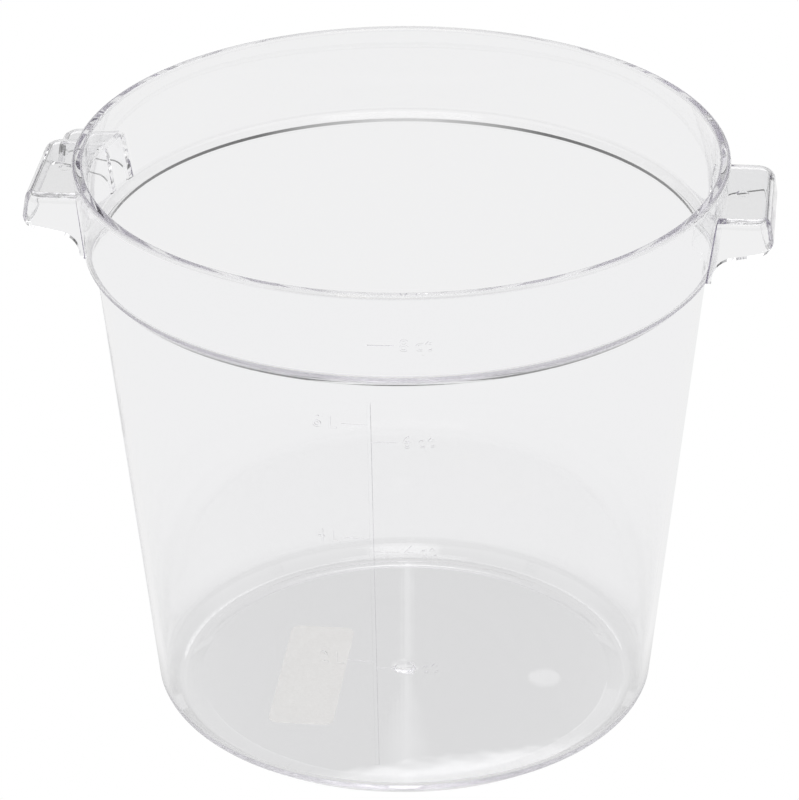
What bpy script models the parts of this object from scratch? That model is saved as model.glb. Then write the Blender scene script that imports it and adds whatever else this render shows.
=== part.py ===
"""Clear moulded food storage tub with two hollow handles and a label under its floor.

Units are metres and +Z is up. The tub stands on z = 0 with its axis on Z, and its handles lie
on X. The collar and the wall below it share one draft, so the tub nests in another of its kind.
"""
import math

import bmesh
import bpy
from mathutils import Matrix, Vector

# Tub: rim and collar
RIM_RADIUS = 0.1265
TUB_HEIGHT = 0.2312
DRAFT = math.radians(6.0)
RIM_WIDTH = 0.0046
RIM_EDGE_RADIUS = 0.0006
COLLAR_HEIGHT = 0.0357
COLLAR_WALL = 0.0027
COLLAR_EDGE_RADIUS = 0.0008

# Tub: shoulder under the collar, and the ledge inside it
SHOULDER_STEP = 0.0036
SHOULDER_DROP = 0.0041
SHOULDER_FOOT_RADIUS = 0.0015
LEDGE_BELOW_COLLAR = 0.0007
LEDGE_DROP = 0.0019
LEDGE_EDGE_RADIUS = 0.0010
LEDGE_ROOT_RADIUS = 0.0012

# Tub: wall, flat base with a sloped margin, label recess and the gate mark in its middle
WALL = 0.0024
BASE_FLAT_RADIUS = 0.0850
BASE_SLOPE = math.radians(20.0)
BASE_SLOPE_RADIUS = 0.0200
BASE_CORNER_RADIUS = 0.0065
FLOOR_SLOPE_RADIUS = 0.0170
FLOOR_CORNER_RADIUS = 0.0038
FLOOR_THICKNESS = 0.0024
FOOT_WIDTH = 0.0030
RECESS_SLOPE_WIDTH = 0.0115
RECESS_SLOPE_RADIUS = 0.0200
GATE_RADIUS = 0.0040
GATE_HEIGHT = 0.0004
GATE_EDGE_RADIUS = 0.0002

# Handles
HANDLE_BELOW_RIM = 0.0112
HANDLE_OVERHANG = 0.0179
HANDLE_LENGTH = 0.0574
HANDLE_WALL = 0.0026
HANDLE_INNER_CORNER_RADIUS = 0.0024
HANDLE_INNER_TOP_RADIUS = 0.0003
HANDLE_TAPER = 0.0004
HANDLE_LIP_DEPTH = 0.0124
HANDLE_EDGE_SLOPE = math.radians(10.5)
HANDLE_ROOT_RADIUS = 0.0080
HANDLE_ROOT_STEP = 0.0002
HANDLE_SEAT_GAP = 0.0003

# Lower tail of the hood, behind the left handle's far end
TAIL_LENGTH = 0.0150
TAIL_STEP_DOWN = 0.0020
TAIL_STEP_IN = 0.0044
TAIL_EDGE_STEP = 0.0004
TAIL_ROOT = 0.0018

# Label under the floor
LABEL_WIDTH = 0.0260
LABEL_LENGTH = 0.0765
LABEL_CORNER_RADIUS = 0.0040
LABEL_THICKNESS = 0.0002
LABEL_SEAT_GAP = 0.0003
LABEL_CLEARANCE = 0.0001
LABEL_X = -0.0370
LABEL_Y = -0.0080

# Faceting and cutters
TURN_STEPS = 96
CHORD_ERROR = 0.00005
CORNER_SEGMENTS = 4
EDGE_SEGMENTS = 3
CUT_OVERRUN = 0.0100
MERGE_DISTANCE = 0.00001

# Derived places
FOOT_HEIGHT = LABEL_SEAT_GAP + LABEL_THICKNESS + LABEL_CLEARANCE
FLOOR_TOP_Z = FOOT_HEIGHT + FLOOR_THICKNESS
COLLAR_FOOT_Z = TUB_HEIGHT - COLLAR_HEIGHT
SHOULDER_FOOT_Z = COLLAR_FOOT_Z - SHOULDER_DROP
LEDGE_TOP_Z = COLLAR_FOOT_Z - LEDGE_BELOW_COLLAR
LEDGE_LOW_Z = LEDGE_TOP_Z - LEDGE_DROP
HANDLE_REACH = RIM_RADIUS + HANDLE_OVERHANG
HANDLE_CORNER_RADIUS = HANDLE_INNER_CORNER_RADIUS + HANDLE_WALL
HANDLE_TOP_RADIUS = HANDLE_INNER_TOP_RADIUS + HANDLE_WALL
HANDLE_TOP_Z = TUB_HEIGHT - HANDLE_BELOW_RIM
HANDLE_LIP_Z = HANDLE_TOP_Z - HANDLE_LIP_DEPTH


def collar_radius(z):
    """Outer radius of the drafted collar at a height."""
    return RIM_RADIUS - (TUB_HEIGHT - z) * math.tan(DRAFT)


def wall_radius(z):
    """Outer radius of the drafted wall below the shoulder at a height."""
    return collar_radius(z) - SHOULDER_STEP


def chord_at(radius, offset):
    """How far from the axis a circle stands where a line beside the axis meets it."""
    return math.sqrt(radius ** 2 - offset ** 2)


def rounded(corners):
    """Points of an outline whose (x, z, radius) corners turn into arcs tangent to their sides."""
    points = []
    for index, (x, z, radius) in enumerate(corners):
        here = Vector((x, z))
        if not radius:
            points.append(here)
            continue
        back = (Vector(corners[index - 1][:2]) - here).normalized()
        ahead = (Vector(corners[(index + 1) % len(corners)][:2]) - here).normalized()
        half = back.angle(ahead) / 2
        centre = here + (back + ahead).normalized() * radius / math.sin(half)
        spoke = here + back * radius / math.tan(half) - centre
        sweep = math.pi - 2 * half
        turn = math.copysign(sweep, ahead.cross(back))
        facet = 2 * math.acos(1 - min(1, CHORD_ERROR / radius))
        steps = max(2, math.ceil(sweep / facet))
        for step in range(steps + 1):
            points.append(centre + Matrix.Rotation(turn * step / steps, 2) @ spoke)
    return points


def new_object(name, bm, collection, parent=None):
    """An object made from a bmesh, in a collection."""
    mesh = bpy.data.meshes.new(name)
    bm.to_mesh(mesh)
    bm.free()
    thing = bpy.data.objects.new(name, mesh)
    thing.parent = parent
    collection.objects.link(thing)
    return thing


def turned(name, points, collection):
    """A solid turned about Z from a profile that runs down its outer side."""
    bm = bmesh.new()
    verts = [bm.verts.new((point.x, 0, point.y)) for point in points]
    for first, second in zip(verts, verts[1:]):
        bm.edges.new((first, second))
    thing = new_object(name, bm, collection)
    screw = thing.modifiers.new("Turn", "SCREW")
    screw.steps = TURN_STEPS
    screw.render_steps = TURN_STEPS
    screw.use_merge_vertices = True
    screw.merge_threshold = MERGE_DISTANCE
    screw.use_smooth_shade = True
    return thing


def prism(name, outline, span, collection, parent=None):
    """A solid made by pushing a flat outline in the XZ plane along Y, centred on it."""
    bm = bmesh.new()
    face = bm.faces.new([bm.verts.new((point.x, span / 2, point.y)) for point in outline])
    pushed = bmesh.ops.extrude_face_region(bm, geom=[face])
    moved = [item for item in pushed["geom"] if isinstance(item, bmesh.types.BMVert)]
    bmesh.ops.translate(bm, verts=moved, vec=(0, -span, 0))
    bmesh.ops.recalc_face_normals(bm, faces=bm.faces)
    return new_object(name, bm, collection, parent)


def cutter(thing):
    """Keeps a tool body out of the model."""
    thing.hide_render = True
    thing.display_type = "WIRE"
    return thing


def boolean(thing, operation, tool):
    """Adds a Boolean modifier with another object."""
    modifier = thing.modifiers.new(tool.name, "BOOLEAN")
    modifier.operation = operation
    modifier.solver = "EXACT"
    modifier.object = tool


def material(name, colour, roughness, alpha):
    """A Principled material."""
    made = bpy.data.materials.new(name)
    made.use_nodes = True
    shader = made.node_tree.nodes["Principled BSDF"]
    shader.inputs["Base Color"].default_value = (*colour, 1)
    shader.inputs["Roughness"].default_value = roughness
    shader.inputs["Metallic"].default_value = 0
    shader.inputs["IOR"].default_value = 1.585
    shader.inputs["Alpha"].default_value = alpha
    return made


def margin_corner(flat_radius, flat_z, inset):
    """Where the base's sloped margin meets the wall: radius and height.

    The margin rises from flat_radius at flat_z, and the inset is the wall's thickness on the
    inner side and nothing on the outer one.
    """
    rise = math.tan(BASE_SLOPE)
    lean = math.tan(DRAFT)
    wall_foot = wall_radius(flat_z) - inset
    radius = (wall_foot - flat_radius * rise * lean) / (1 - rise * lean)
    return radius, flat_z + (radius - flat_radius) * rise


def tub_profile():
    """The tub's section, from the floor's middle up the inner side and down the outer one."""
    collar_inner_foot = collar_radius(COLLAR_FOOT_Z) - COLLAR_WALL
    ledge_inner = wall_radius(LEDGE_LOW_Z) - WALL
    floor_flat = BASE_FLAT_RADIUS - FLOOR_TOP_Z * math.tan(BASE_SLOPE / 2)
    foot_inner = BASE_FLAT_RADIUS - BASE_SLOPE_RADIUS * math.tan(BASE_SLOPE / 2) - FOOT_WIDTH
    return rounded([
        (0, FLOOR_TOP_Z, 0),
        (floor_flat, FLOOR_TOP_Z, FLOOR_SLOPE_RADIUS),
        (*margin_corner(floor_flat, FLOOR_TOP_Z, WALL), FLOOR_CORNER_RADIUS),
        (ledge_inner, LEDGE_LOW_Z, LEDGE_EDGE_RADIUS),
        (collar_inner_foot, LEDGE_TOP_Z, LEDGE_ROOT_RADIUS),
        (RIM_RADIUS - RIM_WIDTH, TUB_HEIGHT, RIM_EDGE_RADIUS),
        (RIM_RADIUS, TUB_HEIGHT, RIM_EDGE_RADIUS),
        (collar_radius(COLLAR_FOOT_Z), COLLAR_FOOT_Z, COLLAR_EDGE_RADIUS),
        (wall_radius(SHOULDER_FOOT_Z), SHOULDER_FOOT_Z, SHOULDER_FOOT_RADIUS),
        (*margin_corner(BASE_FLAT_RADIUS, 0, 0), BASE_CORNER_RADIUS),
        (BASE_FLAT_RADIUS, 0, BASE_SLOPE_RADIUS),
        (foot_inner, 0, RECESS_SLOPE_RADIUS),
        (foot_inner - RECESS_SLOPE_WIDTH, FOOT_HEIGHT, RECESS_SLOPE_RADIUS),
        (GATE_RADIUS, FOOT_HEIGHT, GATE_EDGE_RADIUS),
        (GATE_RADIUS - GATE_HEIGHT, FOOT_HEIGHT - GATE_HEIGHT, GATE_EDGE_RADIUS),
        (0, FOOT_HEIGHT - GATE_HEIGHT, 0),
    ])


def plate_root(plate_y, lip_z):
    """Where an end plate's lower edge meets the collar: x, corner height and lowest height."""
    root_x = chord_at(collar_radius(lip_z) + HANDLE_SEAT_GAP, plate_y)
    corner_z = lip_z - (HANDLE_REACH - root_x) * math.tan(HANDLE_EDGE_SLOPE)
    sweep_down = HANDLE_ROOT_RADIUS * math.tan(math.pi / 4 - HANDLE_EDGE_SLOPE / 2)
    return root_x, corner_z, corner_z - sweep_down - HANDLE_ROOT_STEP


def faces_towards(bm, *ways):
    """The faces of a bmesh that look within 45 degrees of any of the directions."""
    return [
        face for face in bm.faces
        if any(face.normal.angle(Vector(way)) < math.pi / 4 for way in ways)
    ]


def round_edges(bm, edges, width, segments):
    """Bevels the edges between two faces, and leaves open ones."""
    folds = [edge for edge in edges if len(edge.link_faces) == 2]
    bmesh.ops.bevel(bm, geom=folds, offset=width, offset_type="OFFSET", segments=segments,
                    profile=0.5, affect="EDGES", material=-1)


def hood(name, reach, top_z, lip_z, plate_y, far_y, side, collection, cutters):
    """A handle's shell at +X: a flat top, an outer lip and end plates, cut to its lower edge.

    With no far_y it has two end plates. With one, it is left open there.
    """
    root_x, corner_z, root_z = plate_root(plate_y, lip_z)
    inner_x = root_x - CUT_OVERRUN
    low_z = root_z - CUT_OVERRUN
    bm = bmesh.new()
    bmesh.ops.create_cube(bm, size=1)
    for vert in bm.verts:
        taper = 0 if vert.co.z > 0 else HANDLE_TAPER
        vert.co.z = top_z if vert.co.z > 0 else low_z
        if vert.co.y < 0:
            vert.co.y = taper - plate_y
        else:
            vert.co.y = plate_y - taper if far_y is None else far_y
        vert.co.x = reach - taper if vert.co.x > 0 else inner_x
    open_ways = [(0, 0, -1), (-1, 0, 0)]
    if far_y is not None:
        open_ways.append((0, 1, 0))
    bmesh.ops.delete(bm, geom=faces_towards(bm, *open_ways), context="FACES")
    top = faces_towards(bm, (0, 0, 1))[0]
    upright = [edge for edge in bm.edges if edge not in top.edges[:]]
    round_edges(bm, upright, HANDLE_CORNER_RADIUS, CORNER_SEGMENTS)
    top = faces_towards(bm, (0, 0, 1))[0]
    round_edges(bm, top.edges, HANDLE_TOP_RADIUS, EDGE_SEGMENTS)
    thing = new_object(name, bm, collection, side)
    shell = thing.modifiers.new("Wall", "SOLIDIFY")
    shell.thickness = HANDLE_WALL
    shell.offset = -1
    shell.use_even_offset = True

    outer_x = HANDLE_REACH + CUT_OVERRUN
    outer_z = lip_z + CUT_OVERRUN * math.tan(HANDLE_EDGE_SLOPE)
    outline = rounded([
        (outer_x, low_z - CUT_OVERRUN, 0),
        (outer_x, outer_z, 0),
        (root_x, corner_z, HANDLE_ROOT_RADIUS),
        (root_x, root_z, 0),
        (inner_x - CUT_OVERRUN, root_z, 0),
        (inner_x - CUT_OVERRUN, low_z - CUT_OVERRUN, 0),
    ])
    underside = prism("underside", outline, 2 * (plate_y + CUT_OVERRUN), cutters, side)
    boolean(thing, "DIFFERENCE", cutter(underside))
    return thing


def seat_cutter(collection):
    """The collar's own cone plus the seat gap, which shapes the handles' inner edges."""
    high_z = TUB_HEIGHT + CUT_OVERRUN
    low_z = COLLAR_FOOT_Z - 2 * CUT_OVERRUN
    return cutter(turned("collar_seat", [
        Vector((0, high_z)),
        Vector((collar_radius(high_z) + HANDLE_SEAT_GAP, high_z)),
        Vector((collar_radius(low_z) + HANDLE_SEAT_GAP, low_z)),
        Vector((0, low_z)),
    ], collection))


def handle(name, turn, has_tail, seat, finish, parts, cutters):
    """One handle, made at +X on an empty that turns it to its side of the tub."""
    side = bpy.data.objects.new(name + "_side", None)
    side.rotation_euler.z = turn
    parts.objects.link(side)
    half = HANDLE_LENGTH / 2
    shell = hood(name, HANDLE_REACH, HANDLE_TOP_Z, HANDLE_LIP_Z, half, None,
                 side, parts, cutters)
    if has_tail:
        tail = hood("tail", HANDLE_REACH - TAIL_STEP_IN, HANDLE_TOP_Z - TAIL_STEP_DOWN,
                    HANDLE_LIP_Z + TAIL_EDGE_STEP, half + TAIL_LENGTH, TAIL_ROOT - half,
                    side, cutters, cutters)
        boolean(shell, "UNION", cutter(tail))
    boolean(shell, "DIFFERENCE", seat)
    shell.data.materials.append(finish)


def base_label(finish, collection):
    """A thin film with rounded corners, seated under the floor inside the foot ring."""
    half_width, half_length = LABEL_WIDTH / 2, LABEL_LENGTH / 2
    outline = rounded([
        (half_width, -half_length, LABEL_CORNER_RADIUS),
        (half_width, half_length, LABEL_CORNER_RADIUS),
        (-half_width, half_length, LABEL_CORNER_RADIUS),
        (-half_width, -half_length, LABEL_CORNER_RADIUS),
    ])
    label = prism("base_label", outline, LABEL_THICKNESS, collection)
    label.rotation_euler.x = math.pi / 2
    label.location = (LABEL_X, LABEL_Y, LABEL_CLEARANCE + LABEL_THICKNESS / 2)
    label.data.materials.append(finish)


def main():
    """Builds the tub, its two handles and the label."""
    for old in list(bpy.data.objects):
        bpy.data.objects.remove(old, do_unlink=True)
    parts = bpy.data.collections.new("food_storage_tub")
    cutters = bpy.data.collections.new("cutters")
    for collection in (parts, cutters):
        bpy.context.scene.collection.children.link(collection)

    tub = turned("tub", tub_profile(), parts)
    tub.data.materials.append(material("clear_plastic", (0.93, 0.94, 0.96), 0.05, 0.3))
    handle_plastic = material("clear_handle_plastic", (0.92, 0.93, 0.95), 0.08, 0.35)
    seat = seat_cutter(cutters)
    handle("handle_right", 0, False, seat, handle_plastic, parts, cutters)
    handle("handle_left", math.pi, True, seat, handle_plastic, parts, cutters)
    base_label(material("label_film", (0.90, 0.89, 0.84), 0.5, 0.6), parts)


main()
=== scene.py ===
# %% [markdown]
# # A clear moulded storage tub
#
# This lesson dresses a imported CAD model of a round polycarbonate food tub. A clear object has no
# paint to hide behind: everything that the eye reads as "edge", "step" or "rim" is light that the
# plastic has bent. So the meshes here carry real wall thicknesses and real fillets, and the stage
# around them is built to be worth refracting.

# %% Load the frame
import math

import bmesh
import bpy
from mathutils import Matrix, Vector


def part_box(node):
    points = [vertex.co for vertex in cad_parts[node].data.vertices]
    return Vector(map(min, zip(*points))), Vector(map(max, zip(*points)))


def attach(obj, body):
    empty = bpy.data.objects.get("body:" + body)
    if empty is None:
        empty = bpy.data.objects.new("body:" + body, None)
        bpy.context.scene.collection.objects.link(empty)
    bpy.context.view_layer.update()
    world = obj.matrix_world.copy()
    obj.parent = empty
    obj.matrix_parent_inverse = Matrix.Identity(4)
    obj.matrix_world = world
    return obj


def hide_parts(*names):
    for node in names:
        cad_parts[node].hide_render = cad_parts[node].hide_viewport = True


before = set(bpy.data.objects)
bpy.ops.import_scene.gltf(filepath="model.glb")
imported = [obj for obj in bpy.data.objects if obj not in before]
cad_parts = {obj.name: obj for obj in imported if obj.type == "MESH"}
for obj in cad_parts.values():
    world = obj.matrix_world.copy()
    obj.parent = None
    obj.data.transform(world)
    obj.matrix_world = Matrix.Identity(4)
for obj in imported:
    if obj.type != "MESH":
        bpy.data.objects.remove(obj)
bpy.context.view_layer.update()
TUB_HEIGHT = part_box("tub")[1].z
print("CAD nodes:", sorted(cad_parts))

# %% [markdown]
# ## The camera
#
# The photograph was taken with a long lens from about 1.8 m, looking down at 27 degrees, and
# turned 6 degrees away from square to the handles. A long lens is a narrow angle, so the
# camera's distance matters more than its exact place. The values come from fitting the rim, the
# collar and the base outline.

# %% Place the camera
CAMERA_ELEVATION = math.radians(27.445)
CAMERA_TURN = math.radians(6.2)
CAMERA_ROLL = math.radians(0.4)
CAMERA_DISTANCE = 1.7568
CAMERA_FOCAL_PIXELS = 4454.28
CAMERA_AIM_ASIDE = -0.00133
CAMERA_AIM_HEIGHT = 0.12417
PHOTO_HEIGHT_PIXELS = 800
SENSOR_SIZE = 36
CAMERA_NEAR = 0.05
CAMERA_FAR = 100

aside = Vector((math.cos(CAMERA_TURN), math.sin(CAMERA_TURN), 0))
back = Vector((
    math.cos(CAMERA_ELEVATION) * math.sin(CAMERA_TURN),
    -math.cos(CAMERA_ELEVATION) * math.cos(CAMERA_TURN),
    math.sin(CAMERA_ELEVATION),
))
aim = aside * CAMERA_AIM_ASIDE + Vector((0, 0, CAMERA_AIM_HEIGHT))
camera_data = bpy.data.cameras.new("photo_camera")
camera_data.sensor_width = SENSOR_SIZE
camera_data.lens = CAMERA_FOCAL_PIXELS * SENSOR_SIZE / PHOTO_HEIGHT_PIXELS
camera_data.clip_start = CAMERA_NEAR
camera_data.clip_end = CAMERA_FAR
camera = bpy.data.objects.new("photo_camera", camera_data)
bpy.context.scene.collection.objects.link(camera)
level = back.to_track_quat("Z", "Y").to_matrix().to_4x4()
camera.matrix_world = (
    Matrix.Translation(aim + back * CAMERA_DISTANCE) @ level @ Matrix.Rotation(-CAMERA_ROLL, 4, "Z")
)
bpy.context.scene.camera = camera
print("lens", round(camera_data.lens, 1), "mm, camera at", [round(c, 3) for c in camera.location])

# %% [markdown]
# ## The stage
#
# A clear tub shows what surrounds it, so the floor and the sky have two faces. The camera itself
# sees them plain white. Light that has met the plastic sees a studio instead, and the Light Path
# node tells the two apart. The first half of that studio is a slightly grey table with a painted
# shadow: its glow is painted darker in a soft disc under the tub.

# %% Build the floor
FLOOR_SIZE = 12.0
TABLE_TONE = 0.88
PAINTED_SHADOW_TONE = 0.74
PAINTED_SHADOW_RADIUS = 0.108
PAINTED_SHADOW_SOFTNESS = 0.012


def new_material(name):
    """A material with an empty node tree, and its tree and output."""
    made = bpy.data.materials.new(name)
    made.use_nodes = True
    made.node_tree.nodes.clear()
    output = made.node_tree.nodes.new("ShaderNodeOutputMaterial")
    return made, made.node_tree, output


def mapped(tree, value, low, high, to_low, to_high):
    """A smooth Map Range from one span of values to another."""
    node = tree.nodes.new("ShaderNodeMapRange")
    node.interpolation_type = "SMOOTHSTEP"
    node.inputs["From Min"].default_value = low
    node.inputs["From Max"].default_value = high
    node.inputs["To Min"].default_value = to_low
    node.inputs["To Max"].default_value = to_high
    tree.links.new(value, node.inputs["Value"])
    return node.outputs["Result"]


floor_mesh = bpy.data.meshes.new("floor")
bm = bmesh.new()
bmesh.ops.create_grid(bm, x_segments=1, y_segments=1, size=FLOOR_SIZE / 2)
bm.to_mesh(floor_mesh)
bm.free()
floor = bpy.data.objects.new("floor", floor_mesh)
bpy.context.scene.collection.objects.link(floor)

floor_finish, tree, output = new_material("studio_floor")
place = tree.nodes.new("ShaderNodeTexCoord").outputs["Object"]
reach = tree.nodes.new("ShaderNodeVectorMath")
reach.operation = "LENGTH"
tree.links.new(place, reach.inputs[0])
# A painted shadow: the table's glow is darker within a soft disc under the tub.
tone = mapped(tree, reach.outputs["Value"], PAINTED_SHADOW_RADIUS - PAINTED_SHADOW_SOFTNESS,
              PAINTED_SHADOW_RADIUS + PAINTED_SHADOW_SOFTNESS, PAINTED_SHADOW_TONE, TABLE_TONE)
glow = tree.nodes.new("ShaderNodeEmission")
tree.links.new(tone, glow.inputs["Color"])
paper = tree.nodes.new("ShaderNodeEmission")
path = tree.nodes.new("ShaderNodeLightPath")
blend = tree.nodes.new("ShaderNodeMixShader")
tree.links.new(path.outputs["Is Camera Ray"], blend.inputs["Fac"])
tree.links.new(glow.outputs[0], blend.inputs[1])
tree.links.new(paper.outputs[0], blend.inputs[2])
tree.links.new(blend.outputs[0], output.inputs["Surface"])
floor_mesh.materials.append(floor_finish)
print("floor", FLOOR_SIZE, "m wide")

# %% [markdown]
# ## The room in the sky
#
# The other half of the studio is the sky's tone, worked out from the direction that a ray leaves
# in: its z is the sine of the ray's height. A bright line lies on the horizon and a bright
# ceiling overhead. The dark room between them draws the dark edge lines of the plastic, and it
# is lighter behind the tub. Every line below adds one Map Range or Math node.

# %% Paint the room
HORIZON_TONE = 0.90
HORIZON_SINES = (0.01, 0.075)
LOW_ROOM_TONE = 0.08
BACK_ROOM_TONE = 0.45
BACK_ROOM_SINES = (0.25, 0.38)
ROOM_TURN = 0.3
CEILING_TONE = 0.9
CEILING_SINES = (0.40, 0.70)


def combined(tree, operation, first, second):
    """A Math node on two values, each a socket or a number."""
    node = tree.nodes.new("ShaderNodeMath")
    node.operation = operation
    for slot, value in zip(node.inputs, (first, second)):
        if isinstance(value, (int, float)):
            slot.default_value = value
        else:
            tree.links.new(value, slot)
    return node.outputs[0]


world = bpy.data.worlds.new("studio")
world.use_nodes = True
tree = world.node_tree
tree.nodes.clear()
way = tree.nodes.new("ShaderNodeTexCoord").outputs["Generated"]
split = tree.nodes.new("ShaderNodeSeparateXYZ")
tree.links.new(way, split.inputs[0])
way_x, way_y, way_z = split.outputs
at_back = mapped(tree, way_y, -ROOM_TURN, ROOM_TURN, 0, BACK_ROOM_TONE - LOW_ROOM_TONE)
above = mapped(tree, way_z, *BACK_ROOM_SINES, 0, 1)
wall_tone = combined(tree, "ADD", combined(tree, "MULTIPLY", at_back, above), LOW_ROOM_TONE)
near_horizon = mapped(tree, way_z, *HORIZON_SINES, 1, 0)
in_ceiling = mapped(tree, way_z, *CEILING_SINES, 0, 1)
tone = combined(tree, "MAXIMUM", wall_tone, combined(tree, "MULTIPLY", near_horizon, HORIZON_TONE))
tone = combined(tree, "MAXIMUM", tone, combined(tree, "MULTIPLY", in_ceiling, CEILING_TONE))
print("room painted with", len(tree.nodes), "nodes")

# %% [markdown]
# ## Lamps in the sky
#
# The lamps are painted into the same tone. A broad one behind the tub gives the bright crescent
# at the front of the floor. Its lower edge is sharp, a little tilted, and shows as the crescent's
# upper line. A thin upright strip below it gives the streak on the floor. A small lamp straight
# above lights the ledge under the collar.

# %% Hang the lamps
LAMP_TONE = 2.2
LAMP_LOW_SINE = 0.532
LAMP_HIGH_SINE = 0.766
LAMP_HALF_WIDTH = 0.45
LAMP_TILT = 0.076
LAMP_EDGE = 0.002
LAMP_TOP_FADE = 0.05
LAMP_SIDE_FADES = (0.4, 0.1)
BEHIND = (0.05, 0.25)
STRIP_ASIDE = 0.0015
STRIP_TONE = 0.5
STRIP_LOW_SINES = (0.46, 0.50)
STRIP_WIDE_SINES = (0.515, 0.528)
STRIP_HALF_WIDTHS = (0.0025, 0.0075)
TOP_LAMP_TONE = 2.2
TOP_LAMP_SINE = 0.97
TOP_LAMP_EDGE = 0.01

behind = mapped(tree, way_y, *BEHIND, 0, 1)
sideways = combined(tree, "ADD", combined(tree, "MULTIPLY", way_x, math.cos(CAMERA_TURN)),
                    combined(tree, "MULTIPLY", way_y, math.sin(CAMERA_TURN)))
tilted = combined(tree, "ADD", way_z, combined(tree, "MULTIPLY", sideways, LAMP_TILT))
lamp = mapped(tree, tilted, LAMP_LOW_SINE - LAMP_EDGE, LAMP_LOW_SINE + LAMP_EDGE, 0, LAMP_TONE)
below_top = mapped(tree, way_z, LAMP_HIGH_SINE - LAMP_TOP_FADE, LAMP_HIGH_SINE + LAMP_TOP_FADE, 1, 0)
between_sides = mapped(tree, combined(tree, "ABSOLUTE", way_x, 0),
                       LAMP_HALF_WIDTH - LAMP_SIDE_FADES[0], LAMP_HALF_WIDTH + LAMP_SIDE_FADES[1],
                       1, 0)
for limit in (below_top, behind, between_sides):
    lamp = combined(tree, "MULTIPLY", lamp, limit)
tone = combined(tree, "MAXIMUM", tone, lamp)

strip_width = mapped(tree, way_z, *STRIP_WIDE_SINES, *STRIP_HALF_WIDTHS)
off_strip = combined(tree, "ABSOLUTE", combined(tree, "SUBTRACT", sideways, STRIP_ASIDE), 0)
strip = combined(tree, "SUBTRACT", 1, combined(tree, "DIVIDE", off_strip, strip_width))
strip = combined(tree, "MULTIPLY", combined(tree, "MAXIMUM", strip, 0),
                 mapped(tree, way_z, *STRIP_LOW_SINES, 0, STRIP_TONE))
tone = combined(tree, "ADD", tone, combined(tree, "MULTIPLY", strip, behind))

top_lamp = mapped(tree, way_z, TOP_LAMP_SINE - TOP_LAMP_EDGE, TOP_LAMP_SINE + TOP_LAMP_EDGE,
                  0, TOP_LAMP_TONE)
tone = combined(tree, "MAXIMUM", tone, top_lamp)
print("studio painted with", len(tree.nodes), "nodes")

# %% [markdown]
# ## A white sky for the camera
#
# The camera's own rays get plain white, and all others the studio. Light can be trapped in a
# thick rim for hundreds of reflections, and a low limit on bounces would paint it black, so the
# limit is very high. Clear plastic ends most paths long before.

# %% Choose what each ray sees
LIGHT_BOUNCES = 512
TRANSPARENT_BOUNCES = 16

room = tree.nodes.new("ShaderNodeBackground")
tree.links.new(tone, room.inputs["Color"])
sky = tree.nodes.new("ShaderNodeBackground")
sky.inputs["Color"].default_value = (1, 1, 1, 1)
path = tree.nodes.new("ShaderNodeLightPath")
blend = tree.nodes.new("ShaderNodeMixShader")
tree.links.new(path.outputs["Is Camera Ray"], blend.inputs["Fac"])
tree.links.new(room.outputs[0], blend.inputs[1])
tree.links.new(sky.outputs[0], blend.inputs[2])
output = tree.nodes.new("ShaderNodeOutputWorld")
tree.links.new(blend.outputs[0], output.inputs["Surface"])

scene = bpy.context.scene
scene.world = world
scene.view_settings.view_transform = "Standard"
scene.view_settings.look = "None"
scene.cycles.max_bounces = LIGHT_BOUNCES
scene.cycles.transmission_bounces = LIGHT_BOUNCES
scene.cycles.glossy_bounces = LIGHT_BOUNCES
scene.cycles.transparent_max_bounces = TRANSPARENT_BOUNCES
scene.cycles.use_denoising = True
print("light may bounce", LIGHT_BOUNCES, "times")

# %% [markdown]
# ## The turned tub
#
# The tub is one section turned about its axis. A section with sharp corners is spun first, and
# each ring of the turned surface is then rounded with a bevel of its own radius, the way a
# mould maker states it. The bevel's width follows from the radius and the corner's angle.

# %% Spin the section
RIM_RADIUS = 0.1265
DRAFT = math.radians(6.0)
RIM_WIDTH = 0.0046
COLLAR_HEIGHT = 0.0357
COLLAR_WALL = 0.0027
SHOULDER_STEP = 0.0036
SHOULDER_DROP = 0.0041
LEDGE_BELOW_COLLAR = -0.0006
LEDGE_DROP = 0.0019
WALL = 0.0024
FLOOR_THICKNESS = 0.0024
BASE_FLAT_RADIUS = 0.0920
BASE_SLOPE = math.radians(36.0)
BASE_SLOPE_RADIUS = 0.0060
FOOT_WIDTH = 0.0015
FOOT_HEIGHT = 0.0006
RECESS_SLOPE_WIDTH = 0.0060
GATE_RADIUS = 0.0040
GATE_HEIGHT = 0.0004
BUTTON_RADIUS = 0.0055
BUTTON_EDGE = 0.0013
BUTTON_HEIGHT = 0.0004
TURN_STEPS = 384
SAME = 1e-6
BUTTON_FILLET = 0.0018
FLOOR_FILLET = 0.0036
INSIDE_MARGIN_FILLET = 0.0031
LEDGE_FILLET = 0.0006
LEDGE_ROOT_FILLET = 0.0020
RIM_INNER_FILLET = 0.0012
RIM_OUTER_FILLET = 0.0016
COLLAR_FOOT_FILLET = 0.0008
SHOULDER_FOOT_FILLET = 0.0015
OUTSIDE_MARGIN_FILLET = 0.0055
RECESS_FILLET = 0.0080
GATE_FILLET = 0.0002

COLLAR_FOOT_Z = TUB_HEIGHT - COLLAR_HEIGHT
SHOULDER_FOOT_Z = COLLAR_FOOT_Z - SHOULDER_DROP
LEDGE_TOP_Z = COLLAR_FOOT_Z - LEDGE_BELOW_COLLAR
LEDGE_LOW_Z = LEDGE_TOP_Z - LEDGE_DROP
FLOOR_TOP_Z = FOOT_HEIGHT + FLOOR_THICKNESS
FLOOR_FLAT_RADIUS = BASE_FLAT_RADIUS - FLOOR_TOP_Z * math.tan(BASE_SLOPE / 2)
FOOT_INNER = BASE_FLAT_RADIUS - BASE_SLOPE_RADIUS * math.tan(BASE_SLOPE / 2) - FOOT_WIDTH


def collar_radius(z):
    """Outer radius of the drafted collar at a height."""
    return RIM_RADIUS - (TUB_HEIGHT - z) * math.tan(DRAFT)


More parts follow.
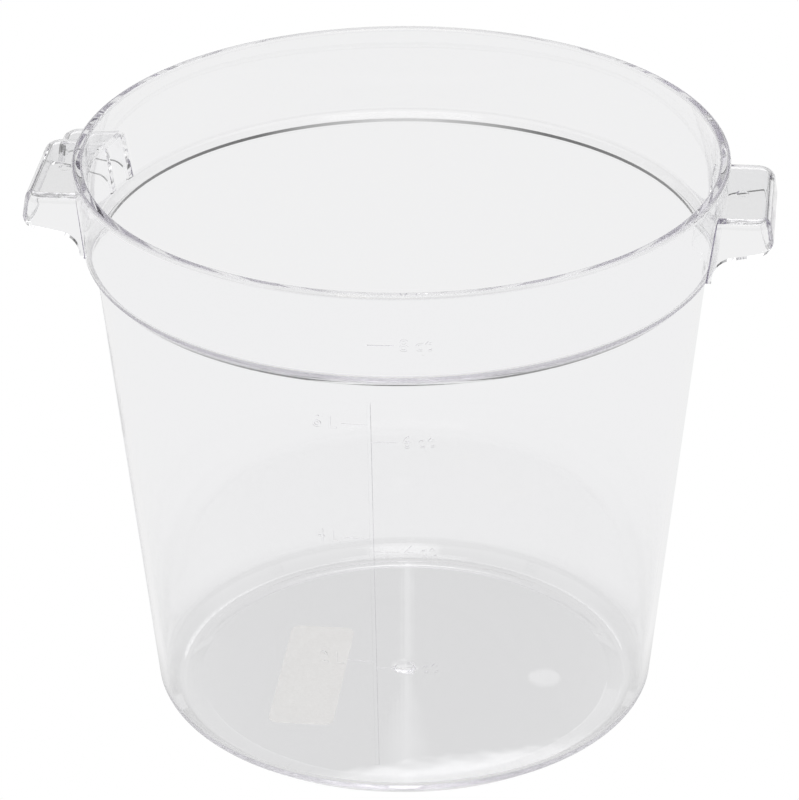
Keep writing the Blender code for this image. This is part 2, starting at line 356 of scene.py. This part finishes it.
def wall_radius(z):
    """Outer radius of the drafted wall below the shoulder at a height."""
    return collar_radius(z) - SHOULDER_STEP


def margin_corner(flat_radius, flat_z, inset):
    """Where the base's sloped margin meets the wall: radius and height."""
    rise = math.tan(BASE_SLOPE)
    lean = math.tan(DRAFT)
    radius = (wall_radius(flat_z) - inset - flat_radius * rise * lean) / (1 - rise * lean)
    return radius, flat_z + (radius - flat_radius) * rise


# Each corner: radius, height, fillet radius, fillet segments. They run up the inside from the
# middle of the floor, over the rim, and down the outside to the middle of the underside.
section = [
    (0, FLOOR_TOP_Z + BUTTON_HEIGHT, 0, 0),
    (BUTTON_RADIUS - BUTTON_EDGE, FLOOR_TOP_Z + BUTTON_HEIGHT, BUTTON_FILLET, 6),
    (BUTTON_RADIUS, FLOOR_TOP_Z, BUTTON_FILLET, 6),
    (FLOOR_FLAT_RADIUS, FLOOR_TOP_Z, FLOOR_FILLET, 6),
    (*margin_corner(FLOOR_FLAT_RADIUS, FLOOR_TOP_Z, WALL), INSIDE_MARGIN_FILLET, 10),
    (wall_radius(LEDGE_LOW_Z) - WALL, LEDGE_LOW_Z, LEDGE_FILLET, 6),
    (collar_radius(COLLAR_FOOT_Z) - COLLAR_WALL, LEDGE_TOP_Z, LEDGE_ROOT_FILLET, 8),
    (RIM_RADIUS - RIM_WIDTH, TUB_HEIGHT, RIM_INNER_FILLET, 8),
    (RIM_RADIUS, TUB_HEIGHT, RIM_OUTER_FILLET, 8),
    (collar_radius(COLLAR_FOOT_Z), COLLAR_FOOT_Z, COLLAR_FOOT_FILLET, 6),
    (wall_radius(SHOULDER_FOOT_Z), SHOULDER_FOOT_Z, SHOULDER_FOOT_FILLET, 6),
    (*margin_corner(BASE_FLAT_RADIUS, 0, 0), OUTSIDE_MARGIN_FILLET, 12),
    (BASE_FLAT_RADIUS, 0, BASE_SLOPE_RADIUS, 8),
    (FOOT_INNER, 0, RECESS_FILLET, 4),
    (FOOT_INNER - RECESS_SLOPE_WIDTH, FOOT_HEIGHT, RECESS_FILLET, 4),
    (GATE_RADIUS, FOOT_HEIGHT, GATE_FILLET, 3),
    (GATE_RADIUS - GATE_HEIGHT, FOOT_HEIGHT - GATE_HEIGHT, GATE_FILLET, 3),
    (0, FOOT_HEIGHT - GATE_HEIGHT, 0, 0),
]


def spun(corners, steps):
    """A bmesh turned about Z from (radius, z, fillet, segments) corners."""
    made = bmesh.new()
    verts = [made.verts.new((corner[0], 0, corner[1])) for corner in corners]
    edges = [made.edges.new(pair) for pair in zip(verts, verts[1:])]
    bmesh.ops.spin(made, geom=verts + edges, cent=(0, 0, 0), axis=(0, 0, 1),
                   angle=2 * math.pi, steps=steps, use_merge=True)
    bmesh.ops.remove_doubles(made, verts=made.verts, dist=SAME)
    bmesh.ops.recalc_face_normals(made, faces=made.faces)
    for index, (radius, z, fillet, segments) in enumerate(corners):
        if not fillet:
            continue
        before = Vector((corners[index - 1][0] - radius, corners[index - 1][1] - z))
        after = Vector((corners[index + 1][0] - radius, corners[index + 1][1] - z))
        width = fillet / math.tan(before.angle(after) / 2)
        ring = [
            edge for edge in made.edges
            if all(abs(v.co.z - z) < SAME and abs(v.co.xy.length - radius) < SAME
                   for v in edge.verts)
        ]
        bmesh.ops.bevel(made, geom=ring, offset=width, offset_type="OFFSET",
                        segments=segments, profile=0.5, affect="EDGES", material=-1)
    return made


def add_object(name, made):
    """An object at the origin made from a bmesh."""
    mesh = bpy.data.meshes.new(name)
    made.to_mesh(mesh)
    made.free()
    thing = bpy.data.objects.new(name, mesh)
    bpy.context.scene.collection.objects.link(thing)
    return thing


tub = add_object("clear_tub", spun(section, TURN_STEPS))
print("tub faces:", len(tub.data.polygons))

# %% [markdown]
# ## Sizes and tools for the handles
#
# Each handle is a hood that grows out of the collar, and Booleans do most of the work. The first
# tool below turns an object's modifiers into its mesh, and the second uses it to join or cut an
# object with others, one at a time. The third rounds edges while a mesh is still being edited.

# %% Write the handle tools
HANDLE_BELOW_RIM = 0.0112
HANDLE_REACH = 0.1424
HANDLE_LENGTH = 0.0556
HANDLE_WALL = 0.0026
HANDLE_CORNER_RADIUS = 0.0065
HANDLE_TOP_RADIUS = 0.0034
HANDLE_INNER_RADIUS = 0.0004
HANDLE_DRAFT = math.radians(8.0)
HANDLE_LIP_DEPTH = 0.0124
HANDLE_EDGE_SLOPE = math.radians(10.5)
HANDLE_ROOT_RADIUS = 0.0080
HANDLE_LIP_CORNER = 0.0028
HANDLE_LIP_RADIUS = 0.0050
HANDLE_INTO_COLLAR = 0.0012
TAIL_LENGTH = 0.0150
TAIL_STEP_DOWN = 0.0020
TAIL_STEP_IN = 0.0044
TAIL_EDGE_STEP = 0.0004
TAIL_ROOT = 0.0018
OVERRUN = 0.0100
CORNER_SEGMENTS = 12
EDGE_SEGMENTS = 8
PIN_SEGMENTS = 48
UPRIGHT = 0.001
HANDLE_TOP_Z = TUB_HEIGHT - HANDLE_BELOW_RIM
HANDLE_LIP_Z = HANDLE_TOP_Z - HANDLE_LIP_DEPTH
EJECTOR_X = 0.1310
EJECTOR_RADIUS = 0.0025
EJECTOR_DEPTH = 0.0008


def with_modifiers(thing):
    """Gives an object the mesh that its modifiers make, and clears them."""
    depsgraph = bpy.context.evaluated_depsgraph_get()
    thing.data = bpy.data.meshes.new_from_object(thing.evaluated_get(depsgraph))
    thing.modifiers.clear()
    return thing


def join_or_cut(thing, operation, *tools):
    """Applies Booleans with tool objects and removes the tools."""
    for tool in tools:
        modifier = thing.modifiers.new(tool.name, "BOOLEAN")
        modifier.operation = operation
        modifier.solver = "EXACT"
        modifier.object = tool
        with_modifiers(thing)
        bpy.data.objects.remove(tool, do_unlink=True)
    return thing


def round_edges(made, edges, width, segments):
    """Bevels edges of a bmesh to a radius."""
    bmesh.ops.bevel(made, geom=edges, offset=width, offset_type="OFFSET", segments=segments,
                    profile=0.5, affect="EDGES", material=-1)


print("handles from z =", round(HANDLE_LIP_Z, 4), "to", round(HANDLE_TOP_Z, 4))

# %% [markdown]
# ## The two shapes of a hood
#
# A hood starts as a block with rounded upright and top edges, wider at its lower end. What lies
# below its sloped lower edge is cut away by a second solid. Its outline is drawn in the XZ plane,
# pushed along Y, and bent at two places: in an arc to the collar, and round the lip's corner.

# %% Write the block and the cutter
def block(name, reach, top_z, low_z, inner_x, near_y, far_y, corner, edge, far_is_open):
    """A box at +X that widens downwards, with rounded upright and top edges."""
    made = bmesh.new()
    bmesh.ops.create_cube(made, size=1)
    flare = (top_z - low_z) * math.tan(HANDLE_DRAFT)
    for vert in made.verts:
        is_top = vert.co.z > 0
        out = 0 if is_top else flare
        vert.co.z = top_z if is_top else low_z
        if vert.co.y < 0:
            vert.co.y = near_y - out
        else:
            vert.co.y = far_y if far_is_open else far_y + out
        vert.co.x = reach + out if vert.co.x > 0 else inner_x
    upright = [
        item for item in made.edges
        if all(v.co.x > inner_x + SAME for v in item.verts)
        and abs(item.verts[0].co.z - item.verts[1].co.z) > UPRIGHT
        and not (far_is_open and all(v.co.y > far_y - SAME for v in item.verts))
    ]
    round_edges(made, upright, corner, CORNER_SEGMENTS)
    top = [
        item for item in made.edges
        if all(v.co.z > top_z - SAME for v in item.verts)
        and not all(v.co.x < inner_x + SAME for v in item.verts)
        and not (far_is_open and all(v.co.y > far_y - SAME for v in item.verts))
    ]
    round_edges(made, top, edge, EDGE_SEGMENTS)
    return add_object(name, made)


def underside_cutter(lip_z, plate_y, root_x, corner_z, root_z, inner_x):
    """The space below a hood's edge, a sloped line with an arc at the collar and one at the lip."""
    bend_x = HANDLE_REACH + HANDLE_LIP_DEPTH * math.tan(HANDLE_DRAFT) - HANDLE_LIP_CORNER
    bend_z = lip_z - (HANDLE_REACH - bend_x) * math.tan(HANDLE_EDGE_SLOPE)
    outline = [
        (bend_x + 3 * OVERRUN, root_z - OVERRUN),
        (bend_x + 3 * OVERRUN, bend_z + 3 * OVERRUN),
        (bend_x, bend_z),
        (root_x, corner_z),
        (root_x, root_z),
        (inner_x - OVERRUN, root_z),
        (inner_x - OVERRUN, root_z - OVERRUN),
    ]
    depth = plate_y + OVERRUN
    made = bmesh.new()
    face = made.faces.new([made.verts.new((x, depth, z)) for x, z in outline])
    pushed = bmesh.ops.extrude_face_region(made, geom=[face])
    moved = [item for item in pushed["geom"] if isinstance(item, bmesh.types.BMVert)]
    bmesh.ops.translate(made, verts=moved, vec=(0, -2 * depth, 0))
    bmesh.ops.recalc_face_normals(made, faces=made.faces)
    # Each bend: place, radius and half the angle that the line turns through
    bends = [(root_x, corner_z, HANDLE_ROOT_RADIUS, math.pi / 4 - HANDLE_EDGE_SLOPE / 2),
             (bend_x, bend_z, HANDLE_LIP_RADIUS, (math.pi / 4 - HANDLE_EDGE_SLOPE) / 2)]
    for bend_at_x, bend_at_z, radius, half_turn in bends:
        ridge = [
            edge for edge in made.edges
            if all(abs(v.co.x - bend_at_x) < SAME and abs(v.co.z - bend_at_z) < SAME
                   for v in edge.verts)
        ]
        round_edges(made, ridge, radius * math.tan(half_turn), CORNER_SEGMENTS)
    return add_object("underside", made)


print("lower edge falls", round(math.degrees(HANDLE_EDGE_SLOPE), 1), "degrees to the collar")

# %% [markdown]
# ## Handles that grow out of the collar
#
# A smaller block hollows the larger one. A cone a little inside the collar's face trims the
# hood, and a shallow pin mark goes into the underside of its top. The left hood has a lower tail
# behind its far end. A Boolean union then makes tub and handles one body of plastic, because
# light bends at every surface and a hidden seam inside would show.

# %% Build the hoods and join them to the tub
def hood(name, reach, top_z, lip_z, near_y, far_y, far_is_open=False):
    """A handle's shell at +X, open below and towards the collar, and at its far end if asked."""
    root_x = math.sqrt(collar_radius(lip_z) ** 2 - near_y ** 2)
    corner_z = lip_z - (HANDLE_REACH - root_x) * math.tan(HANDLE_EDGE_SLOPE)
    root_z = corner_z - HANDLE_ROOT_RADIUS
    inner_x = root_x - OVERRUN
    low_z = root_z - OVERRUN
    shell = block(name, reach, top_z, low_z, inner_x, near_y, far_y,
                  HANDLE_CORNER_RADIUS, HANDLE_TOP_RADIUS, far_is_open)
    far_inner = far_y + OVERRUN if far_is_open else far_y - HANDLE_WALL
    hollow = block("hollow", reach - HANDLE_WALL, top_z - HANDLE_WALL, low_z - OVERRUN,
                   inner_x - OVERRUN, near_y + HANDLE_WALL, far_inner,
                   HANDLE_CORNER_RADIUS - HANDLE_WALL, HANDLE_INNER_RADIUS, far_is_open)
    return join_or_cut(shell, "DIFFERENCE", hollow,
                       underside_cutter(lip_z, -near_y, root_x, corner_z, root_z, inner_x))


def ejector_mark(top_z):
    """A shallow round pin mark for the underside of a handle's top."""
    made = bmesh.new()
    bmesh.ops.create_cone(made, cap_ends=True, segments=PIN_SEGMENTS, radius1=EJECTOR_RADIUS,
                          radius2=EJECTOR_RADIUS, depth=2 * OVERRUN)
    bmesh.ops.translate(made, verts=made.verts,
                        vec=(EJECTOR_X, 0, top_z - HANDLE_WALL + EJECTOR_DEPTH - OVERRUN))
    return add_object("ejector_pin", made)


def collar_core():
    """The cone inside the collar's wall that trims a hood's inner edges."""
    made = bmesh.new()
    high_z = TUB_HEIGHT + OVERRUN
    low_z = COLLAR_FOOT_Z - 3 * OVERRUN
    bmesh.ops.create_cone(made, cap_ends=True, segments=TURN_STEPS,
                          radius1=collar_radius(low_z) - HANDLE_INTO_COLLAR,
                          radius2=collar_radius(high_z) - HANDLE_INTO_COLLAR,
                          depth=high_z - low_z)
    bmesh.ops.translate(made, verts=made.verts, vec=(0, 0, (high_z + low_z) / 2))
    return add_object("collar_core", made)


def handle(name, turn, has_tail):
    """One handle's hood, turned about Z to its side of the tub."""
    half = HANDLE_LENGTH / 2
    shell = hood(name, HANDLE_REACH, HANDLE_TOP_Z, HANDLE_LIP_Z, -half, half)
    if has_tail:
        tail = hood("tail", HANDLE_REACH - TAIL_STEP_IN, HANDLE_TOP_Z - TAIL_STEP_DOWN,
                    HANDLE_LIP_Z + TAIL_EDGE_STEP, -half - TAIL_LENGTH, TAIL_ROOT - half, True)
        join_or_cut(shell, "UNION", tail)
    join_or_cut(shell, "DIFFERENCE", collar_core(), ejector_mark(HANDLE_TOP_Z))
    shell.data.transform(Matrix.Rotation(turn, 4, "Z"))
    return shell


join_or_cut(tub, "UNION", handle("hood_right", 0, False), handle("hood_left", math.pi, True))
print("tub with handles:", len(tub.data.polygons), "faces")

# %% [markdown]
# ## Graduations
#
# A measuring scale is moulded on the front wall: a thin rib with litres on its left and quarts on
# its right. The marks stand only 0.3 mm proud, so nothing but their edges shows. Each mark's
# height is not copied from anywhere: it is where the turned inside holds that volume.

# %% Find the height of each volume
MARK_RISE = 0.0003
MARK_SINK = 0.0003
LITRE_IN_CUBIC_METRES = 0.001
QUART = 0.9463
LITRE_MARKS = (2, 4, 6)
QUART_MARKS = (2, 4, 6, 8)
VOLUME_SLICES = 400


def inside_radius(z):
    """Inner radius of the tub at a height above its floor."""
    if z < LEDGE_TOP_Z:
        return wall_radius(z) - WALL
    low = collar_radius(COLLAR_FOOT_Z) - COLLAR_WALL
    share = (z - LEDGE_TOP_Z) / (TUB_HEIGHT - LEDGE_TOP_Z)
    return low + share * (RIM_RADIUS - RIM_WIDTH - low)


def fill_height(litres):
    """The height to which a volume fills the tub."""
    slice_height = (TUB_HEIGHT - FLOOR_TOP_Z) / VOLUME_SLICES
    z = FLOOR_TOP_Z
    filled = 0
    while filled < litres:
        slice_volume = math.pi * inside_radius(z + slice_height / 2) ** 2 * slice_height
        filled += slice_volume / LITRE_IN_CUBIC_METRES
        z += slice_height
    return z


for litres in LITRE_MARKS:
    print(litres, "L at", round(fill_height(litres) * 1000, 1), "mm")

# %% [markdown]
# ## Flat marks, rolled onto a cone
#
# A mark is made flat, as text or as a small box cut into short lengths, and then rolled onto the
# cone: its x becomes an arc, its y a height and its z a distance from the wall's surface. Text is
# a curve in Blender, so it is made a mesh first.

# %% Write the mark tools
RIB_WIDTH = 0.0017
RIB_LOW_Z = 0.018
RIB_HIGH_Z = 0.184
TICK_LENGTH = 0.0090
TICK_WIDTH = 0.0007
LETTER_SIZE = 0.0075
LETTER_GAP = 0.0041
LETTER_STEPS = 3
BAR_STEPS = 6


def rolled_on(made, middle_x, middle_z, radius_at):
    """Rolls a flat bmesh onto the front of a cone."""
    bmesh.ops.remove_doubles(made, verts=made.verts, dist=SAME)
    for vert in made.verts:
        z = middle_z + vert.co.y
        radius = radius_at(z)
        angle = (middle_x + vert.co.x) / radius
        radius += vert.co.z
        vert.co = (radius * math.sin(angle), -radius * math.cos(angle), z)
    return made


def bar(width, height):
    """A flat bar with slightly sloped sides, cut across so that it can follow an arc."""
    made = bmesh.new()
    bmesh.ops.create_grid(made, x_segments=BAR_STEPS, y_segments=1, size=0.5)
    for vert in made.verts:
        vert.co = (vert.co.x * width, vert.co.y * height, -MARK_SINK)
    pushed = bmesh.ops.extrude_face_region(made, geom=made.faces[:])
    top = [item for item in pushed["geom"] if isinstance(item, bmesh.types.BMVert)]
    bmesh.ops.translate(made, verts=top, vec=(0, 0, MARK_RISE + MARK_SINK))
    for vert in top:
        slim = 1 - MARK_RISE / min(width, height)
        if width < height:
            vert.co.x *= slim
        else:
            vert.co.y *= slim
    return made


def letters(words, align):
    """Words as a solid mesh with their middle height at zero."""
    curve = bpy.data.curves.new(words, "FONT")
    curve.body = words
    curve.size = LETTER_SIZE
    curve.align_x = align
    curve.align_y = "CENTER"
    curve.resolution_u = LETTER_STEPS
    curve.extrude = (MARK_RISE + MARK_SINK) / 2
    thing = bpy.data.objects.new(words, curve)
    bpy.context.scene.collection.objects.link(thing)
    depsgraph = bpy.context.evaluated_depsgraph_get()
    mesh = bpy.data.meshes.new_from_object(thing.evaluated_get(depsgraph))
    made = bmesh.new()
    made.from_mesh(mesh)
    bmesh.ops.translate(made, verts=made.verts, vec=(0, 0, (MARK_RISE - MARK_SINK) / 2))
    bpy.data.objects.remove(thing, do_unlink=True)
    return made


def surface_at(z):
    """The outer radius function that a mark at a height lies on."""
    return collar_radius if z > COLLAR_FOOT_Z else wall_radius


def together(name, parts):
    """One object from several bmeshes."""
    whole = bmesh.new()
    for made in parts:
        mesh = bpy.data.meshes.new("part")
        made.to_mesh(mesh)
        made.free()
        whole.from_mesh(mesh)
    return add_object(name, whole)


print("letters", LETTER_SIZE * 1000, "mm high, ticks", TICK_LENGTH * 1000, "mm long")

# %% [markdown]
# ## Raising the marks
#
# Each volume gets a tick at the rib and a word beside it, litres to the left and quarts to the
# right. The Boolean union takes rib, words and ticks one after another, so that no tool solid
# overlaps itself.

# %% Raise the marks
words = {-1: [], 1: []}
ticks = []
scale_marks = [(litres, "%d L" % litres, -1) for litres in LITRE_MARKS]
scale_marks += [(quarts * QUART, "%d qt" % quarts, 1) for quarts in QUART_MARKS]
for litres, label, side in scale_marks:
    z = fill_height(litres)
    tick_x = side * (RIB_WIDTH + TICK_LENGTH) / 2
    ticks.append(rolled_on(bar(TICK_LENGTH + RIB_WIDTH / 2, TICK_WIDTH), tick_x, z, surface_at(z)))
    word_x = side * (RIB_WIDTH + LETTER_GAP + 2 * TICK_LENGTH) / 2
    words[side].append(rolled_on(letters(label, "LEFT" if side > 0 else "RIGHT"), word_x, z,
                                 surface_at(z)))
rib = rolled_on(bar(RIB_WIDTH, RIB_HIGH_Z - RIB_LOW_Z), 0, (RIB_HIGH_Z + RIB_LOW_Z) / 2, wall_radius)
join_or_cut(tub, "UNION", together("rib", [rib]), together("litres", words[-1]),
            together("quarts", words[1]), together("ticks", ticks))
print("tub with graduations:", len(tub.data.polygons), "faces")

# %% [markdown]
# ## Normals that stay true
#
# Refraction shows the smallest error in a shading normal. The tub is smooth with sharp edges
# where two faces meet at more than 25 degrees, weighted towards large faces. On the turned
# surface a true normal never leans round the axis, so that part of each corner's normal is
# taken out, also where the handles have cut the long collar faces.

# %% Set the normals
SHARP_ANGLE = math.radians(25)
LONG_FACE = 0.004
PROUD = 0.00005
MIDDLE = 0.001
LEAN_LIMIT = 0.02
SAME_WAY = 0.9999


def in_section(co):
    """A point's place in the turned section: radius and height."""
    return Vector((co.xy.length, co.z))


def true_turned_normals(mesh):
    """Corner normals without any lean round the axis, and exact on the long faces."""
    normals = [corner.vector.copy() for corner in mesh.corner_normals]
    turned = []
    exact = {}
    for face in mesh.polygons:
        indices = [mesh.loops[i].vertex_index for i in face.loop_indices]
        corners = [mesh.vertices[i].co for i in indices]
        if any(co.xy.length > collar_radius(co.z) + PROUD for co in corners):
            continue
        out = Vector((face.center.x, face.center.y, 0))
        if out.length > MIDDLE:
            out.normalize()
            if abs(face.normal.dot(Vector((-out.y, out.x, 0)))) > LEAN_LIMIT:
                continue
        turned.append((face.loop_indices, indices, corners))
        spots = [in_section(co) for co in corners]
        if max((spot - spots[0]).length for spot in spots) > LONG_FACE:
            lean = Vector((face.normal.dot(out), face.normal.z)).normalized()
            for index in indices:
                exact.setdefault(index, []).append(lean)
    for loops, indices, corners in turned:
        for loop, index, co in zip(loops, indices, corners):
            if co.xy.length < MIDDLE:
                normals[loop] = Vector((0, 0, 1 if normals[loop].z > 0 else -1))
                continue
            out = Vector((co.x, co.y, 0)).normalized()
            leans = exact.get(index)
            if leans and all(lean.dot(leans[0]) > SAME_WAY for lean in leans):
                normals[loop] = out * leans[0].x + Vector((0, 0, leans[0].y))
            else:
                normals[loop] = out * normals[loop].dot(out) + Vector((0, 0, normals[loop].z))
                normals[loop].normalize()
    mesh.normals_split_custom_set(normals)


tub.data.shade_smooth()
tub.data.set_sharp_from_angle(angle=SHARP_ANGLE)
weigh = tub.modifiers.new("weigh", "WEIGHTED_NORMAL")
weigh.keep_sharp = True
with_modifiers(tub)
true_turned_normals(tub.data)
print("normals set on", len(tub.data.loops), "corners")

# %% [markdown]
# ## Clear plastic
#
# Polycarbonate bends light at 1.585. Its own colour is close to none, so the faint violet of the
# rim comes from absorption over the long way that light travels inside the walls. A very weak
# bump gives the flow ripples of a moulding, and one worn round spot on the floor is a little
# rougher, with a faint painted glow that makes it lighter. This one body of plastic takes the place
# of three CAD nodes.

# %% Make the clear plastic
PLASTIC_IOR = 1.585
PLASTIC_ROUGHNESS = 0.0
PLASTIC_COLOUR = (0.995, 0.995, 1, 1)
DEPTH_COLOUR = (0.55, 0.5, 0.64, 1)
DEPTH_DENSITY = 1
RIPPLE_SCALE = 45
RIPPLE_DETAIL = 2
RIPPLE_STRENGTH = 0.25
RIPPLE_HEIGHT = 0.00003
SCUFF_AND_PAINTED_GLOW_PLACE = (0.057, -0.003, 0.001)
SCUFF_AND_PAINTED_GLOW_RADIUS = 0.0072
SCUFF_AND_PAINTED_GLOW_SOLID_SHARE = 0.85
SCUFF_ROUGHNESS = 0.1
SCUFF_PAINTED_GLOW = 0.018
plastic, tree, output = new_material("clear_polycarbonate")
shader = tree.nodes.new("ShaderNodeBsdfPrincipled")
shader.inputs["Base Color"].default_value = PLASTIC_COLOUR
shader.inputs["IOR"].default_value = PLASTIC_IOR
shader.inputs["Transmission Weight"].default_value = 1
shader.inputs["Emission Color"].default_value = (1, 1, 1, 1)
place = tree.nodes.new("ShaderNodeTexCoord").outputs["Object"]
flow = tree.nodes.new("ShaderNodeTexNoise")
flow.inputs["Scale"].default_value = RIPPLE_SCALE
flow.inputs["Detail"].default_value = RIPPLE_DETAIL
tree.links.new(place, flow.inputs["Vector"])
ripple = tree.nodes.new("ShaderNodeBump")
ripple.inputs["Strength"].default_value = RIPPLE_STRENGTH
ripple.inputs["Distance"].default_value = RIPPLE_HEIGHT
tree.links.new(flow.outputs[0], ripple.inputs["Height"])
tree.links.new(ripple.outputs[0], shader.inputs["Normal"])
# One round mask carries both the spot's real roughness and its painted glow.
from_scuff_and_painted_glow = tree.nodes.new("ShaderNodeVectorMath")
from_scuff_and_painted_glow.operation = "DISTANCE"
from_scuff_and_painted_glow.inputs[1].default_value = SCUFF_AND_PAINTED_GLOW_PLACE
tree.links.new(place, from_scuff_and_painted_glow.inputs[0])
scuff_and_painted_glow_span = (SCUFF_AND_PAINTED_GLOW_RADIUS * SCUFF_AND_PAINTED_GLOW_SOLID_SHARE, SCUFF_AND_PAINTED_GLOW_RADIUS)
scuff = mapped(tree, from_scuff_and_painted_glow.outputs["Value"], *scuff_and_painted_glow_span, SCUFF_ROUGHNESS, PLASTIC_ROUGHNESS)
tree.links.new(scuff, shader.inputs["Roughness"])
# A faint painted glow, though the plastic is no lamp, makes the worn spot lighter.
glow = mapped(tree, from_scuff_and_painted_glow.outputs["Value"], *scuff_and_painted_glow_span, SCUFF_PAINTED_GLOW, 0)
tree.links.new(glow, shader.inputs["Emission Strength"])
tree.links.new(shader.outputs[0], output.inputs["Surface"])
depth = tree.nodes.new("ShaderNodeVolumeAbsorption")
depth.inputs["Color"].default_value = DEPTH_COLOUR
depth.inputs["Density"].default_value = DEPTH_DENSITY
tree.links.new(depth.outputs[0], output.inputs["Volume"])
tub.data.materials.append(plastic)
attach(tub, "root")
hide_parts("tub", "handle_left", "handle_right")
print("plastic on", tub.name, "with", len(tree.nodes), "nodes")

# %% [markdown]
# ## The label under the floor
#
# The label keeps its CAD solid and only gets a finish. It is a thin translucent film, so it is
# partly see-through, and a little glow stands for the light that comes through from below. A
# fine noise gives it fibres, both in its colour and as a bump.

# %% Dress the label
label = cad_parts["base_label"]
label_low, label_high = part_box("base_label")
FIBRE_SCALE = 900
FIBRE_DETAIL = 4
FIBRE_DARK = (0.84, 0.825, 0.80, 1)
FIBRE_LIGHT = (0.92, 0.91, 0.885, 1)
FIBRE_SPAN = (0.35, 0.65)
FIBRE_STRENGTH = 0.15
FIBRE_HEIGHT = 0.0002
FILM_ROUGHNESS = 0.55
FILM_ALPHA = 0.42
FILM_GLOW = 0.46
film, tree, output = new_material("translucent_film")
place = tree.nodes.new("ShaderNodeTexCoord").outputs["Object"]
fibres = tree.nodes.new("ShaderNodeTexNoise")
fibres.inputs["Scale"].default_value = FIBRE_SCALE
fibres.inputs["Detail"].default_value = FIBRE_DETAIL
tree.links.new(place, fibres.inputs["Vector"])
tone = tree.nodes.new("ShaderNodeValToRGB")
tone.color_ramp.elements[0].position = FIBRE_SPAN[0]
tone.color_ramp.elements[0].color = FIBRE_DARK
tone.color_ramp.elements[1].position = FIBRE_SPAN[1]
tone.color_ramp.elements[1].color = FIBRE_LIGHT
tree.links.new(fibres.outputs[0], tone.inputs["Fac"])
paper = tree.nodes.new("ShaderNodeBsdfPrincipled")
paper.inputs["Roughness"].default_value = FILM_ROUGHNESS
paper.inputs["Alpha"].default_value = FILM_ALPHA
tree.links.new(tone.outputs["Color"], paper.inputs["Base Color"])
tree.links.new(tone.outputs["Color"], paper.inputs["Emission Color"])
paper.inputs["Emission Strength"].default_value = FILM_GLOW
dents = tree.nodes.new("ShaderNodeBump")
dents.inputs["Strength"].default_value = FIBRE_STRENGTH
dents.inputs["Distance"].default_value = FIBRE_HEIGHT
tree.links.new(fibres.outputs[0], dents.inputs["Height"])
tree.links.new(dents.outputs[0], paper.inputs["Normal"])
tree.links.new(paper.outputs[0], output.inputs["Surface"])
for slot in label.material_slots:
    slot.material = film
print("label", [round((high - low) * 1000, 1) for low, high in zip(label_low, label_high)], "mm")
